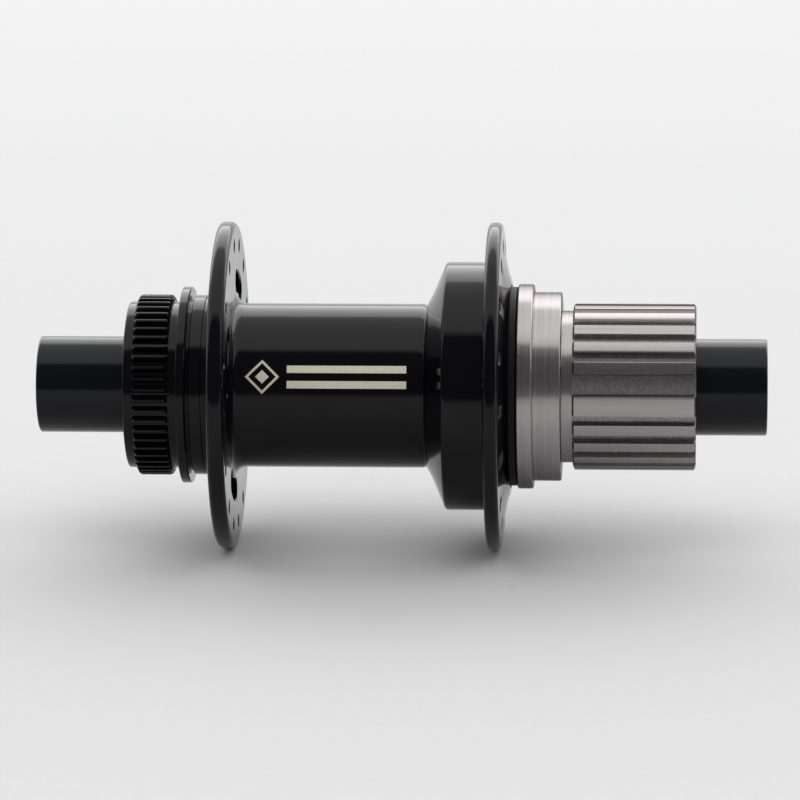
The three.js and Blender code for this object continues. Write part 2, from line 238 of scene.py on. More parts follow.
DULL_SILVER, BRIGHT_SILVER = (0.31, 0.295, 0.292, 1.0), (0.41, 0.39, 0.39, 1.0)
DARK_SPECKLE, LIGHT_SPECKLE = (0.20, 0.19, 0.195, 1.0), (0.42, 0.40, 0.40, 1.0)
SILVER_EDGE = (0.35, 0.33, 0.34, 1.0)  # tints what is seen at a grazing angle
USUAL_NOISE = (0.3, 0.7)  # most of a noise texture's values lie between these
SHALLOW = 0.00002  # metres: the height of the finest turning marks
DEEP = 0.00003  # metres: the height of coarser marks and of a moulded grain


class Nodes:
    """A short way to write a material's node tree."""

    def __init__(self, name):
        self.material = bpy.data.materials.new(name)
        self.material.use_nodes = True
        self.tree = self.material.node_tree
        self.shader = self.tree.nodes["Principled BSDF"]
        self.place = self.outputs("ShaderNodeTexCoord", {})["Object"]

    def link(self, source, socket):
        if isinstance(source, (int, float, tuple)):
            socket.default_value = source
        else:
            self.tree.links.new(source, socket)

    def outputs(self, kind, inputs, **settings):
        made = self.tree.nodes.new(kind)
        for key, value in settings.items():
            setattr(made, key, value)
        for key, value in inputs.items():
            self.link(value, made.inputs[key])
        return made.outputs

    def math(self, operation, *values):
        return self.outputs("ShaderNodeMath", dict(enumerate(values)), operation=operation)[0]

    def combine(self, x, y, z):
        return self.outputs("ShaderNodeCombineXYZ", {"X": x, "Y": y, "Z": z})[0]

    def noise(self, vector, scale, detail, roughness):
        inputs = {"Vector": vector, "Scale": scale, "Detail": detail, "Roughness": roughness}
        return self.outputs("ShaderNodeTexNoise", inputs)[0]

    def ramp(self, value, low, high, out_low, out_high):
        inputs = {"Value": value, "From Min": low, "From Max": high, "To Min": out_low, "To Max": out_high}
        return self.outputs("ShaderNodeMapRange", inputs)[0]

    def spread(self, noise, out_low, out_high):
        """Maps the values that a noise mostly has to the range from out_low to out_high."""
        return self.ramp(noise, *USUAL_NOISE, out_low, out_high)

    def inside(self, value, low, high, soft):
        """1 where low < value < high, with soft edges."""
        above = self.ramp(value, low - soft, low, 0.0, 1.0)
        return self.math("MULTIPLY", above, self.ramp(value, high, high + soft, 1.0, 0.0))

    def mix(self, factor, first, second):
        inputs = {0: factor, 6: first, 7: second}
        return self.outputs("ShaderNodeMix", inputs, data_type="RGBA")[2]

    def blend(self, factor, first, second):
        return self.outputs("ShaderNodeMix", {0: factor, 2: first, 3: second})[0]

    def bump(self, height, strength, distance, base=None):
        inputs = {"Height": height, "Strength": strength, "Distance": distance}
        if base is not None:
            inputs["Normal"] = base
        return self.outputs("ShaderNodeBump", inputs)[0]

    def set(self, **values):
        for key, value in values.items():
            self.link(value, self.shader.inputs[key.replace("_", " ")])

    def round_axle(self):
        """(radius, station, angle) of a point, in millimetres and degrees."""
        x, y, z = self.outputs("ShaderNodeSeparateXYZ", {"Vector": self.place})[:3]
        squares = self.math("ADD", self.math("MULTIPLY", x, x), self.math("MULTIPLY", z, z))
        radius = self.math("DIVIDE", self.math("SQRT", squares), MM)
        station = self.math("DIVIDE", y, -MM)
        angle = self.math("DEGREES", self.math("ARCTAN2", z, self.math("MULTIPLY", x, -1.0)))
        return radius, station, angle

    def turning_marks(self, radius, station, scale):
        """Fine rings round the axle, as a lathe tool leaves them."""
        return self.noise(self.combine(radius, station, 0.0), scale, 3.0, 0.6)


def shaded(colour, factor):
    return tuple(factor * channel for channel in colour) + (1.0,)


def print_mask(n, radius, station, angle):
    """A diamond and two bars, printed along the barrel."""
    height = n.math("MULTIPLY", n.math("SUBTRACT", angle, PRINT_ANGLE), math.radians(BARREL_RADIUS))
    along = n.math("ABSOLUTE", n.math("SUBTRACT", station, DIAMOND_STATION))
    across = n.math("ADD", along, n.math("ABSOLUTE", height))
    mask = n.math("ADD", n.inside(across, *DIAMOND_OUTLINE, PRINT_SOFT),
                  n.inside(across, -1.0, DIAMOND_HEART, PRINT_SOFT))
    for middle in BAR_HEIGHTS:
        bar = n.math("MULTIPLY", n.inside(station, BAR_START, BAR_END, PRINT_SOFT),
                     n.inside(height, middle - BAR_HALF_WIDTH, middle + BAR_HALF_WIDTH, PRINT_SOFT))
        mask = n.math("ADD", mask, bar)
    return n.math("MULTIPLY", mask, n.ramp(radius, BARREL_RADIUS - 1, BARREL_RADIUS - 0.9, 0.0, 1.0))


def black_anodised(name, base, roughness, ior, printed=False):
    """Gloss black anodising over a finely turned surface, with faint wear in its gloss."""
    n = Nodes(name)
    radius, station, angle = n.round_axle()
    marks = n.turning_marks(radius, station, 5.5)
    cloud = n.noise(n.place, 90.0, 4.0, 0.6)
    colour = n.mix(n.spread(cloud, 0.0, 1.0), shaded(base, 0.8), shaded(base, 1.2))
    gloss = n.math("ADD", n.spread(marks, roughness * 0.85, roughness * 1.15),
                   n.spread(cloud, -0.01, 0.02))
    if printed:
        ink = print_mask(n, radius, station, angle)
        worn = n.ramp(n.noise(n.place, 1500.0, 3.0, 0.6), 0.3, 0.6, 0.88, 1.0)
        colour = n.mix(n.math("MULTIPLY", ink, worn), colour, PRINT_INK)
        gloss = n.blend(ink, gloss, 0.4)
    n.set(Base_Color=colour, Roughness=gloss, Metallic=0.0, IOR=ior)
    n.set(Normal=n.bump(marks, 0.09, SHALLOW))
    return n.material


def satin_silver(name):
    """Turned rings, and a spline with shiny streaked crowns and speckled matte floors."""
    n = Nodes(name)
    radius, station, angle = n.round_axle()
    marks = n.turning_marks(radius, station, 4.5)
    on_spline = n.ramp(station, SPLINE_START - 0.1, SPLINE_START + 0.1, 0.0, 1.0)
    low = n.ramp(radius, SPLINE_ROOT + 0.5, SPLINE_ROOT + 0.3, 0.0, 1.0)
    floor = n.math("MULTIPLY", on_spline, low)
    streaks = n.noise(n.combine(n.math("MULTIPLY", station, 0.03), angle, radius), 1.3, 3.0, 0.6)
    crown = n.math("MULTIPLY", on_spline, n.math("SUBTRACT", 1.0, low))
    texture = n.blend(crown, marks, streaks)
    speckle = n.noise(n.place, 2300.0, 4.0, 0.75)
    bright = n.mix(n.spread(texture, 0.0, 1.0), DULL_SILVER, BRIGHT_SILVER)
    matte = n.mix(n.ramp(speckle, 0.35, 0.65, 0.0, 1.0), DARK_SPECKLE, LIGHT_SPECKLE)
    n.set(Base_Color=n.mix(floor, bright, matte), Metallic=1.0, Specular_Tint=SILVER_EDGE)
    n.set(Roughness=n.blend(floor, n.spread(texture, 0.22, 0.3), 0.42))
    rings = n.bump(texture, 0.10, DEEP)
    n.set(Normal=n.bump(speckle, n.ramp(floor, 0.0, 1.0, 0.01, 0.25), DEEP, rings))
    return n.material


def ground_steel(name, base, roughness):
    """Turned or ground metal with fine rings."""
    n = Nodes(name)
    marks = n.turning_marks(*n.round_axle()[:2], 6.0)
    n.set(Base_Color=n.mix(n.spread(marks, 0.0, 1.0), shaded(base, 0.85), shaded(base, 1.1)))
    n.set(Roughness=n.spread(marks, roughness * 0.8, roughness * 1.2), Metallic=1.0)
    n.set(Normal=n.bump(marks, 0.08, SHALLOW))
    return n.material


def moulded(name, base, roughness):
    """Rubber or nylon with a fine moulded grain."""
    n = Nodes(name)
    grain = n.noise(n.place, 3000.0, 4.0, 0.6)
    n.set(Base_Color=n.mix(n.spread(grain, 0.0, 1.0), shaded(base, 0.8), shaded(base, 1.25)))
    n.set(Roughness=n.spread(grain, roughness * 0.9, roughness * 1.1), Metallic=0.0, IOR=1.35)
    n.set(Normal=n.bump(grain, 0.2, DEEP))
    return n.material


# ---------------------------------------------------------------- hub shell

NOSE_RADIUS, NOSE_RECESS, RECESS_END = 16.25, 14.75, -46.0
SAME_RADIUS = 0.01  # radii that differ by less than this are one radius
TEETH, TOOTH_TIP = 52, 17.65
TOOTH_START, TOOTH_END, TOOTH_CHAMFER = -51.65, -44.6, 0.8
# Height of a rotor tooth across one pitch, as (share of the pitch, share of the height).
TOOTH_SHAPE = [
    (0.0, 0.0), (0.16, 0.03), (0.25, 0.2), (0.33, 0.72), (0.38, 0.93),
    (0.5, 1.0), (0.62, 0.93), (0.67, 0.72), (0.75, 0.2), (0.84, 0.03),
]
SEAT_START, SEAT_END, SEAT_RADIUS, SEAT_CHAMFER = -42.9, -41.1, 19.2, 0.2
SEAT_RELIEF = (0.35, 17.8)  # depth and radius of the undercut at the foot of the rotor's seat
NECK_RADIUS = 17.55
SEAT_UNDERCUT = (0.6, 16.75)  # width and radius of the groove behind the seat
NECK_GROOVE = (-38.2, -37.6, 17.2)
LEFT_FLANGE = (-35.85, -32.5)
LEFT_RIM = (0.1, 2.5)  # where the rounding of its inner edge ends: below the face, and below the top
LEFT_DISH = 0.15  # how far its inner face has fallen back at the foot
BARREL_RADIUS, BARREL_END, BARREL_BORE = 16.0, 4.05, 13.5
GROOVE = (4.75, 15.78)
CONE = [(5.15, 16.5), (5.95, 18.0), (6.75, 19.8)]
HOUSING_START, HOUSING_RADIUS, HOUSING_BORE, HOUSING_MOUTH = 8.6, 24.2, 20.0, 20.7
RIGHT_FLANGE = (16.7, 19.5)
RIGHT_FACE = [(19.8, 26.5), (20.7, 22.3)]
RIGHT_SWELL = 0.2  # how far its outer face has swelled at the spoke holes
SEAT_BORE, SEAT_LIP = 14.08, 12.4  # where the shell's bearings sit, and the lip they rest on
LIP_WIDTH, LIP_FOOT = 1.6, 3.2  # from a bearing to the end of its lip, and to the foot of the lip's slope
LEFT_BEARING_END, RIGHT_BEARING_START, RIGHT_BEARING_ROOM = -37.0, 2.5, 10.2

SPOKES_PER_FLANGE, SPOKE_CIRCLE, SPOKE_HOLE, COUNTERSINK, HOLE_SIDES = 16, 27.65, 1.3, 0.3, 28
LEFT_PHASE, RIGHT_PHASE = 90.4, 92.75
WINDOWS, WINDOW_PHASE, WINDOW_EDGE = 4, 115.25, 0.25
WINDOW_MIDDLE, WINDOW_HALF_DEPTH, WINDOW_HALF_SPAN = 20.5, 2.2, 20.0
OVERRUN = 0.8  # how far a cutter runs past the face that it goes through


def shell_angles():
    pitch = 360 / TEETH
    return [(k + share) * pitch for k in range(TEETH) for share, _ in TOOTH_SHAPE]


def shell_radius(station, radius, angle):
    """Adds the rotor teeth to the outline's outer side."""
    shape = np.array(TOOTH_SHAPE + [(1.0, 0.0)])
    height = np.interp((angle * TEETH / 360) % 1, shape[:, 0], shape[:, 1])
    depth = TOOTH_TIP - NOSE_RADIUS
    run = np.minimum(station - TOOTH_START, TOOTH_END - station) / TOOTH_CHAMFER
    end = np.sqrt(1 - (1 - np.clip(run, 0, 1)) ** 2)
    on_spline = (run > 0) & (np.abs(radius - NOSE_RADIUS) < SAME_RADIUS)
    return np.where(on_spline, NOSE_RADIUS + depth * np.minimum(height, end), radius)


def tooth_rows():
    """Stations at which the outline crosses the rotor teeth, close together at both ends."""
    shares = (0.0, 0.04, 0.14, 0.3, 0.55, 1.0)
    near = [TOOTH_START + TOOTH_CHAMFER * t for t in shares]
    far = [TOOTH_END - TOOTH_CHAMFER * t for t in reversed(shares)]
    return [(s, NOSE_RADIUS) for s in near + far]


def shell_outline():
    left_out, left_in = LEFT_FLANGE
    right_in, right_out = RIGHT_FLANGE
    relief, relief_radius = SEAT_RELIEF
    undercut, undercut_radius = SEAT_UNDERCUT
    groove_start, groove_end, groove_radius = NECK_GROOVE
    rim_depth, rim_drop = LEFT_RIM
    outside = [
        (NOSE_START, NOSE_RADIUS, 0.4), *tooth_rows(),
        (SEAT_START + relief, NOSE_RADIUS, 0.1), (SEAT_START + relief, relief_radius, 0.05),
        (SEAT_START, relief_radius, 0.05), (SEAT_START, SEAT_RADIUS, 0.25),
        (SEAT_END - SEAT_CHAMFER, SEAT_RADIUS, 0.1), (SEAT_END, SEAT_RADIUS - SEAT_CHAMFER, 0.1),
        (SEAT_END, undercut_radius, 0.05), (SEAT_END + undercut, undercut_radius, 0.05),
        (SEAT_END + undercut, NECK_RADIUS, 0.12), (groove_start, NECK_RADIUS, 0.06),
        (groove_start, groove_radius, 0.05), (groove_end, groove_radius, 0.05),
        (groove_end, NECK_RADIUS, 0.06), (left_out, NECK_RADIUS, 0.9),
        (left_out, FLANGE_TOP, 1.15), (left_in, FLANGE_TOP, 1.15),
        (left_in - rim_depth, FLANGE_TOP - rim_drop, 0.0), (left_in - LEFT_DISH, BARREL_RADIUS, 2.2),
        (BARREL_END, BARREL_RADIUS, 0.9), (*GROOVE, 0.3), *[(*c, 0.0) for c in CONE],
        (HOUSING_START, HOUSING_RADIUS, 0.8),
        (right_in, HOUSING_RADIUS, 0.45), (right_in, FLANGE_TOP, 1.1),
        (right_out, FLANGE_TOP, 1.1), *[(*c, 0.0) for c in RIGHT_FACE], (SHELL_END, HOUSING_MOUTH, 0.15),
    ]
    inside = [
        (SHELL_END, HOUSING_BORE, 0.1), (RIGHT_BEARING_ROOM, HOUSING_BORE, 0.1),
        (RIGHT_BEARING_ROOM, SEAT_BORE, 0.1), (RIGHT_BEARING_START, SEAT_BORE, 0.1),
        (RIGHT_BEARING_START, SEAT_LIP, 0.1), (RIGHT_BEARING_START - LIP_WIDTH, SEAT_LIP, 0.3),
        (RIGHT_BEARING_START - LIP_FOOT, BARREL_BORE, 0.3),
        (LEFT_BEARING_END + LIP_FOOT, BARREL_BORE, 0.3),
        (LEFT_BEARING_END + LIP_WIDTH, SEAT_LIP, 0.3), (LEFT_BEARING_END, SEAT_LIP, 0.1),
        (LEFT_BEARING_END, SEAT_BORE, 0.1), (RECESS_END, SEAT_BORE, 0.1),
        (RECESS_END, NOSE_RECESS, 0.1), (NOSE_START, NOSE_RECESS, 0.25),
    ]
    return rounded(outside + inside)


def drill(flange, angle):
    """A spoke hole's cutter, countersunk at both faces of the flange."""
    start, end = flange
    wide = SPOKE_HOLE + COUNTERSINK + OVERRUN
    rows = [
        (start - OVERRUN, wide), (start + COUNTERSINK, SPOKE_HOLE),
        (end - COUNTERSINK, SPOKE_HOLE), (end + OVERRUN, wide),
    ]
    cx, cz = polar(SPOKE_CIRCLE, angle)
    turns = [math.radians(a) for a in even_angles(HOLE_SIDES)]
    rings = [(s, [(cx + r * math.cos(a), cz + r * math.sin(a)) for a in turns]) for s, r in rows]
    return loft("drill", rings)


def kidney(grow, phase):
    """A window's outline: a curved slot with round ends, made larger all round by grow."""
    depth = WINDOW_HALF_DEPTH + grow
    straight = WINDOW_HALF_SPAN - math.degrees(WINDOW_HALF_DEPTH / WINDOW_MIDDLE)
    along = [straight * (k / 6 - 1) for k in range(13)]
    points = [polar(WINDOW_MIDDLE + depth, phase + a) for a in along]
    points += round_end(phase + straight, depth, 0)
    points += [polar(WINDOW_MIDDLE - depth, phase - a) for a in along]
    return points + round_end(phase - straight, depth, 180)


def round_end(at, depth, turned):
    """Half a circle round the end of a window's middle line, without its two end points."""
    cx, cz = polar(WINDOW_MIDDLE, at)
    spokes = [polar(depth, at + turned + 22.5 * k) for k in range(1, 8)]
    return [(cx + dx, cz + dz) for dx, dz in spokes]


def window_cutter(phase):
    start, end = LEFT_FLANGE
    wide = WINDOW_EDGE + OVERRUN
    rows = [
        (start - OVERRUN, wide), (start + WINDOW_EDGE, 0.0),
        (end - LEFT_DISH - WINDOW_EDGE, 0.0), (end + OVERRUN, wide),
    ]
    return loft("window", [(s, kidney(grow, phase)) for s, grow in rows])


def build_shell():
    shell = revolve("shell", shell_outline(), shell_angles(), shell_radius)
    cutters = [drill(LEFT_FLANGE, a) for a in even_angles(SPOKES_PER_FLANGE, LEFT_PHASE)]
    swelled = (RIGHT_FLANGE[0], RIGHT_FLANGE[1] + RIGHT_SWELL)
    cutters += [drill(swelled, a) for a in even_angles(SPOKES_PER_FLANGE, RIGHT_PHASE)]
    cutters += [window_cutter(a) for a in even_angles(WINDOWS, WINDOW_PHASE)]
    cut(shell, cutters)
    place(shell, "hub_shell", "shell_black", "hub_shell")


# ---------------------------------------------------------------- ratchet, pawls and springs

RATCHET_TEETH, RATCHET_ROOT, RATCHET_TIP, RATCHET_PHASE = 36, 18.3, 17.2, 90.0
# Across one tooth, as (degrees, share of the tooth's height): a steep face and a long ramp.
RATCHET_SHAPE = [
    (0.0, 0.0), (0.3, 0.94), (0.55, 1.0), (0.9, 0.97), (3.5, 0.7), (6.5, 0.36), (9.0, 0.08), (9.7, 0.0),
]
RATCHET_EASE = 0.2  # the chamfer at both ends of the teeth
RATCHET_SKIN = 0.5  # how far outside the teeth's roots the ring's outline still follows them
PAWLS = 6
# Seen along the axle at the top of the hub: x forwards, y outwards, and a fillet.
PAWL_SECTION = [
    (-0.32, 16.3, 0.12), (-0.32, 17.88, 0.18), (-1.7, 17.32, 0.6), (-3.1, 16.72, 0.8), (-5.1, 15.75, 0.5),
]
UNDER_TIP, OVER_HEEL = (0.0, 15.2), (-5.9, 15.6)  # where the section's open line comes from and goes to
HEEL, HEEL_RADIUS, HEEL_SOCKET = (-6.0, 14.6), 1.1, 1.25
HEEL_ARC, SOCKET_ARC = (80, 300), (300, 165)
POCKET_CORNERS = [(-7.2, 18.5), (1.1, 18.5), (1.0, 14.75), (-3.8, 13.85)]
POCKET_ROOM = 0.15  # beside the pawl, at each end
LEAF = [(-3.0, 14.1), (-2.0, 14.25), (-1.0, 14.48), (0.0, 14.82), (0.35, 14.98)]
LEAF_THICKNESS, LEAF_INSET = 0.16, 0.5
PAWL_EASE, LEAF_EASE = 0.12, 0.04


def ratchet_radius(station, radius, angle):
    pitch = 360 / RATCHET_TEETH
    shape = np.array(RATCHET_SHAPE + [(pitch, 0.0)])
    height = np.interp((angle - RATCHET_PHASE) % pitch, shape[:, 0], shape[:, 1])
    inner = RATCHET_ROOT - (RATCHET_ROOT - RATCHET_TIP) * height
    return np.where(radius < RATCHET_ROOT + RATCHET_SKIN, radius - RATCHET_ROOT + inner, radius)


def build_ratchet():
    start, end, outer = span("ratchet_ring")
    outline = rounded([
        (start, RATCHET_ROOT + RATCHET_EASE), (start, outer, 0.3), (end, outer, 0.3),
        (end, RATCHET_ROOT + RATCHET_EASE), (end - RATCHET_EASE, RATCHET_ROOT),
        (start + RATCHET_EASE, RATCHET_ROOT),
    ])
    angles = [
        RATCHET_PHASE + 360 / RATCHET_TEETH * k + a for k in range(RATCHET_TEETH) for a, _ in RATCHET_SHAPE
    ]
    place(revolve("ratchet", outline, angles, ratchet_radius), "hub_shell", "tool_steel", "ratchet_ring")


def heel_arc(radius, start, end, steps=12):
    turns = [math.radians(start + (end - start) * k / steps) for k in range(steps + 1)]
    return [(HEEL[0] + radius * math.cos(a), HEEL[1] + radius * math.sin(a)) for a in turns]


def bar_at(name, section, angle, start, end):
    """A section drawn at the top of the hub, run from one station to another and turned round the axle."""
    c, s = math.cos(math.radians(angle)), math.sin(math.radians(angle))
    turned = [(x * c + y * s, y * c - x * s) for x, y in section]
    return loft(name, [(start, turned), (end, turned)])


def build_pawls():
    open_line = rounded([UNDER_TIP, *PAWL_SECTION, OVER_HEEL])[1:-1]
    section = open_line + heel_arc(HEEL_RADIUS, *HEEL_ARC)
    curve = [Vector(p) for p in LEAF]
    leaf = [tuple(p) for p in curve] + [(p.x, p.y + LEAF_THICKNESS) for p in reversed(curve)]
    start, end, _ = span("pawl_1")
    for k, angle in enumerate(even_angles(PAWLS)):
        pawl = bar_at(f"pawl_block_{k + 1}", section, angle, start, end)
        ease_edges(pawl, PAWL_EASE)
        place(pawl, f"pawl_{k + 1}", "tool_steel", f"pawl_{k + 1}")
        spring = bar_at(f"leaf_{k + 1}", leaf, angle, start + LEAF_INSET, end - LEAF_INSET)
        ease_edges(spring, LEAF_EASE)
        place(spring, "freehub", "spring_steel", f"pawl_spring_{k + 1}")


# ---------------------------------------------------------------- cassette body

SPLINE_START, SPLINE_TIP, SPLINE_ROOT = 33.35, 16.2, 14.95
SPLINE_CHAMFER, CHAMFER_DEPTH = 0.35, 0.7  # at both ends of the teeth: along the axle, and inwards
SPLINE_UPPER = 22.5  # upper edge of the wide valley
WIDE_VALLEY, WIDE_TOOTH, CROWN, VALLEY, CROWNS = 15.0, 15.0, 8.8, 6.2, 22
CROWN_STEP = 2.2  # about how far apart the points on a crown are
FLANK = [(-0.75, 0.0), (-0.35, 0.12), (0.1, 0.82), (0.4, 0.97), (0.85, 1.0)]
CARRIER_RADIUS, CARRIER_END, CARRIER_NECK = 16.9, 18.3, 16.2
RING_START, RING_END, STOP_END, STOP_RADIUS = 22.65, 25.7, 31.1, 18.4
BODY_NECK, BODY_BORE, BODY_LIP, BODY_WAIST, BODY_MOUTH = 14.8, 13.05, 11.3, 12.2, 14.4
BODY_LIP_WIDTH, BODY_LIP_FOOT = 1.5, 3
SNAP_GROOVE = (54.65, 55.75, 13.6)
OUTER_SEAT, INNER_SEAT_END = 47.5, 19.0


def spline_profile():
    """(angle, share of the tooth height) all the way round, starting above the wide valley."""
    teeth = [(SPLINE_UPPER + k * (CROWN + VALLEY), CROWN) for k in range(CROWNS)]
    teeth.append((SPLINE_UPPER + 360 - WIDE_VALLEY - WIDE_TOOTH, WIDE_TOOTH))
    points = []
    for lower, width in teeth:
        points += [(lower + a, h) for a, h in FLANK]
        inner = int(width / CROWN_STEP)
        points += [(lower + width * k / inner, 1.0) for k in range(1, inner)]
        points += [(lower + width - a, h) for a, h in reversed(FLANK)]
        gap, floors = (WIDE_VALLEY, 6) if width == WIDE_TOOTH else (VALLEY, 2)
        points += [(lower + width + gap * k / (floors + 1), 0.0) for k in range(1, floors + 1)]
    return points


def body_radius(station, radius, angle):
    profile = np.array(spline_profile() + [(SPLINE_UPPER + 360 + FLANK[0][0], 0.0)])
    first = profile[0, 0]
    height = np.interp((angle - first) % 360 + first, profile[:, 0], profile[:, 1])
    full = SPLINE_ROOT + (SPLINE_TIP - SPLINE_ROOT) * height
    run = np.minimum(station - SPLINE_START, BODY_END - station) / SPLINE_CHAMFER
    chamfer = SPLINE_TIP - CHAMFER_DEPTH + CHAMFER_DEPTH * np.clip(run, 0, 1)
    on_spline = (run > -0.001) & (np.abs(radius - SPLINE_ROOT) < SAME_RADIUS)
    return np.where(on_spline, np.maximum(radius, np.minimum(full, chamfer)), radius)


def body_outline():
    rows = [SPLINE_START, SPLINE_START + 0.01, SPLINE_START + SPLINE_CHAMFER / 2]
    rows += [SPLINE_START + SPLINE_CHAMFER] + [BODY_END - SPLINE_CHAMFER * t for t in (1.0, 0.5, 0.0)]
    snap_start, snap_end, snap_radius = SNAP_GROOVE
    outside = [
        (BODY_START, BODY_BORE, 0.1), (BODY_START, CARRIER_RADIUS, 0.3), (CARRIER_END, CARRIER_RADIUS, 0.2),
        (CARRIER_END, CARRIER_NECK, 0.05), (RING_START, CARRIER_NECK, 0.1), (RING_START, BODY_TOP, 0.3),
        (RING_END, BODY_TOP, 0.4), (RING_END, STOP_RADIUS, 0.06), (STOP_END, STOP_RADIUS, 0.3),
        (STOP_END, BODY_NECK, 0.25), (SPLINE_START, BODY_NECK, 0.0), *[(s, SPLINE_ROOT, 0.0) for s in rows],
    ]
    inside = [
        (BODY_END, BODY_MOUTH, 0.1), (BODY_END, BODY_BORE, 0.25), (snap_end, BODY_BORE, 0.05),
        (snap_end, snap_radius, 0.05), (snap_start, snap_radius, 0.05), (snap_start, BODY_BORE, 0.05),
        (OUTER_SEAT, BODY_BORE, 0.05), (OUTER_SEAT, BODY_LIP, 0.1),
        (OUTER_SEAT - BODY_LIP_WIDTH, BODY_LIP, 0.1), (OUTER_SEAT - BODY_LIP_FOOT, BODY_WAIST, 0.3),
        (INNER_SEAT_END + BODY_LIP_FOOT, BODY_WAIST, 0.3),
        (INNER_SEAT_END + BODY_LIP_WIDTH, BODY_LIP, 0.1), (INNER_SEAT_END, BODY_LIP, 0.1),
        (INNER_SEAT_END, BODY_BORE, 0.05),
    ]
    return rounded(outside + inside)


def build_body():
    body = revolve("cassette_body", body_outline(), [a for a, _ in spline_profile()], body_radius)
    start, end, _ = span("pawl_1")
    pocket = POCKET_CORNERS + heel_arc(HEEL_SOCKET, *SOCKET_ARC)
    low, high = start - POCKET_ROOM, end + POCKET_ROOM
    cut(body, [bar_at("pocket", pocket, a, low, high) for a in even_angles(PAWLS)])
    place(body, "freehub", "freehub_silver", "freehub_body")


# ---------------------------------------------------------------- turned rings, caps and axle


AXLE_BORE, AXLE_RADIUS, SLIDING_BORE = 6.05, 7.5, 7.58  # the last is in whatever slides onto the axle
CAP_COLLAR, CAP_COLLAR_WIDTH, CAP_SLOPE_END = 9.0, 0.9, 1.3  # the cap's narrow inner end
CAP_SHOULDER = 60.05  # where the axle's end stops in the cap
CAP_GROOVE_START, CAP_GROOVE_END, CAP_GROOVE_RADIUS = 56.4, 57.6, 8.4
COVER_GAP, COVER_DISH = 0.1, 0.3  # round the end cap, and the depth of the dish
# The dish lies between a rim and a hub: their widths, each with the foot of its slope.
COVER_RIM, COVER_RIM_FOOT, COVER_HUB_FOOT, COVER_HUB = 0.8, 1.1, 0.9, 0.6
SNAP_RING_BORE, SNAP_RING_GAP, SNAP_RING_STEPS = 12.1, 12, 100  # the gap is in degrees, each side
BODY_SEAL_BORE = 16.3


def turned_piece(name, corners, body, slot, node, sides=144):
    place(revolve(name, rounded(corners), even_angles(sides)), body, slot, node)


def build_caps():
    for side, name in ((-1, "left_end_cap"), (1, "right_end_cap")):
        first, last, radius = span(name)
        inner, end = near_and_far(side, first, last)
        corners = mirrored(side, [
            (inner, SLIDING_BORE, 0.05), (inner, CAP_COLLAR, 0.1),
            (inner + CAP_COLLAR_WIDTH, CAP_COLLAR, 0.05), (inner + CAP_SLOPE_END, radius, 0.1),
            (end, radius, 0.45), (end, AXLE_BORE, 0.45),
            (CAP_SHOULDER, AXLE_BORE, 0.1), (CAP_SHOULDER, SLIDING_BORE, 0.1),
            (CAP_GROOVE_END, SLIDING_BORE, 0.05), (CAP_GROOVE_END, CAP_GROOVE_RADIUS, 0.1),
            (CAP_GROOVE_START, CAP_GROOVE_RADIUS, 0.1), (CAP_GROOVE_START, SLIDING_BORE, 0.05),
        ])
        turned_piece(name.replace("end_cap", "cap"), corners, "axle", "end_cap_black", name, 160)


def build_axle():
    start, end, shoulder = span("axle")
    left, right = LEFT_BEARING_END, RIGHT_BEARING_START
    corners = [
        (start, AXLE_BORE, 0.2), (start, AXLE_RADIUS, 0.35),
        (left, AXLE_RADIUS, 0.1), (left, shoulder, 0.25),
        (right, shoulder, 0.25), (right, AXLE_RADIUS, 0.1),
        (end, AXLE_RADIUS, 0.35), (end, AXLE_BORE, 0.2),
    ]
    turned_piece("axle_tube", corners, "axle", "axle_alloy", "axle")
    for node in ("short_spacer", "long_spacer"):
        build_ring(node, "axle", SLIDING_BORE, "axle_alloy", 0.2)


def build_ring(node, body, inner, slot, fillet):
    start, end, outer = span(node)
    corners = [(start, inner, fillet), (start, outer, fillet), (end, outer, fillet), (end, inner, fillet)]
    turned_piece(node + "_ring", corners, body, slot, node)


def build_covers():
    """Thin covers with a dished middle, between the end caps and what turns round them."""
    for side, node in ((-1, "left_dust_cover"), (1, "right_dust_cover")):
        first, last, outer = span(node)
        near, far = near_and_far(side, first, last)
        inner, dished = span(node.replace("dust_cover", "end_cap"))[2] + COVER_GAP, far - COVER_DISH
        corners = mirrored(side, [
            (near, inner, 0.1), (near, outer, 0.2), (far, outer, 0.2), (far, outer - COVER_RIM, 0.1),
            (dished, outer - COVER_RIM_FOOT, 0.1), (dished, inner + COVER_HUB_FOOT, 0.1),
            (far, inner + COVER_HUB, 0.1), (far, inner, 0.15),
        ])
        turned_piece(node.replace("cover", "seal"), corners, "axle", "seal_rubber", node)


def build_o_rings():
    for node in ("left_cap_o_ring", "right_cap_o_ring"):
        start, end, outer = span(node)
        middle, section = (start + end) / 2, (end - start) / 2
        turns = [math.radians(a) for a in even_angles(16)]
        outline = [(middle + section * math.cos(a), outer - section + section * math.sin(a)) for a in turns]
        ring = revolve(node.replace("_o_ring", "_ring"), outline, even_angles(96))
        place(ring, "axle", "seal_rubber", node)


def build_snap_ring():
    start, end, outer = span("snap_ring")
    rows = [(start, SNAP_RING_BORE), (start, outer), (end, outer), (end, SNAP_RING_BORE)]
    corners = [(station, radius, 0.12) for station, radius in rows]
    turn = 360 - 2 * SNAP_RING_GAP
    angles = [SNAP_RING_GAP + turn * k / SNAP_RING_STEPS for k in range(SNAP_RING_STEPS + 1)]
    ring = revolve("circlip", rounded(corners), angles, closed=False)
    place(ring, "freehub", "spring_steel", "snap_ring")


# ---------------------------------------------------------------- cartridge bearings

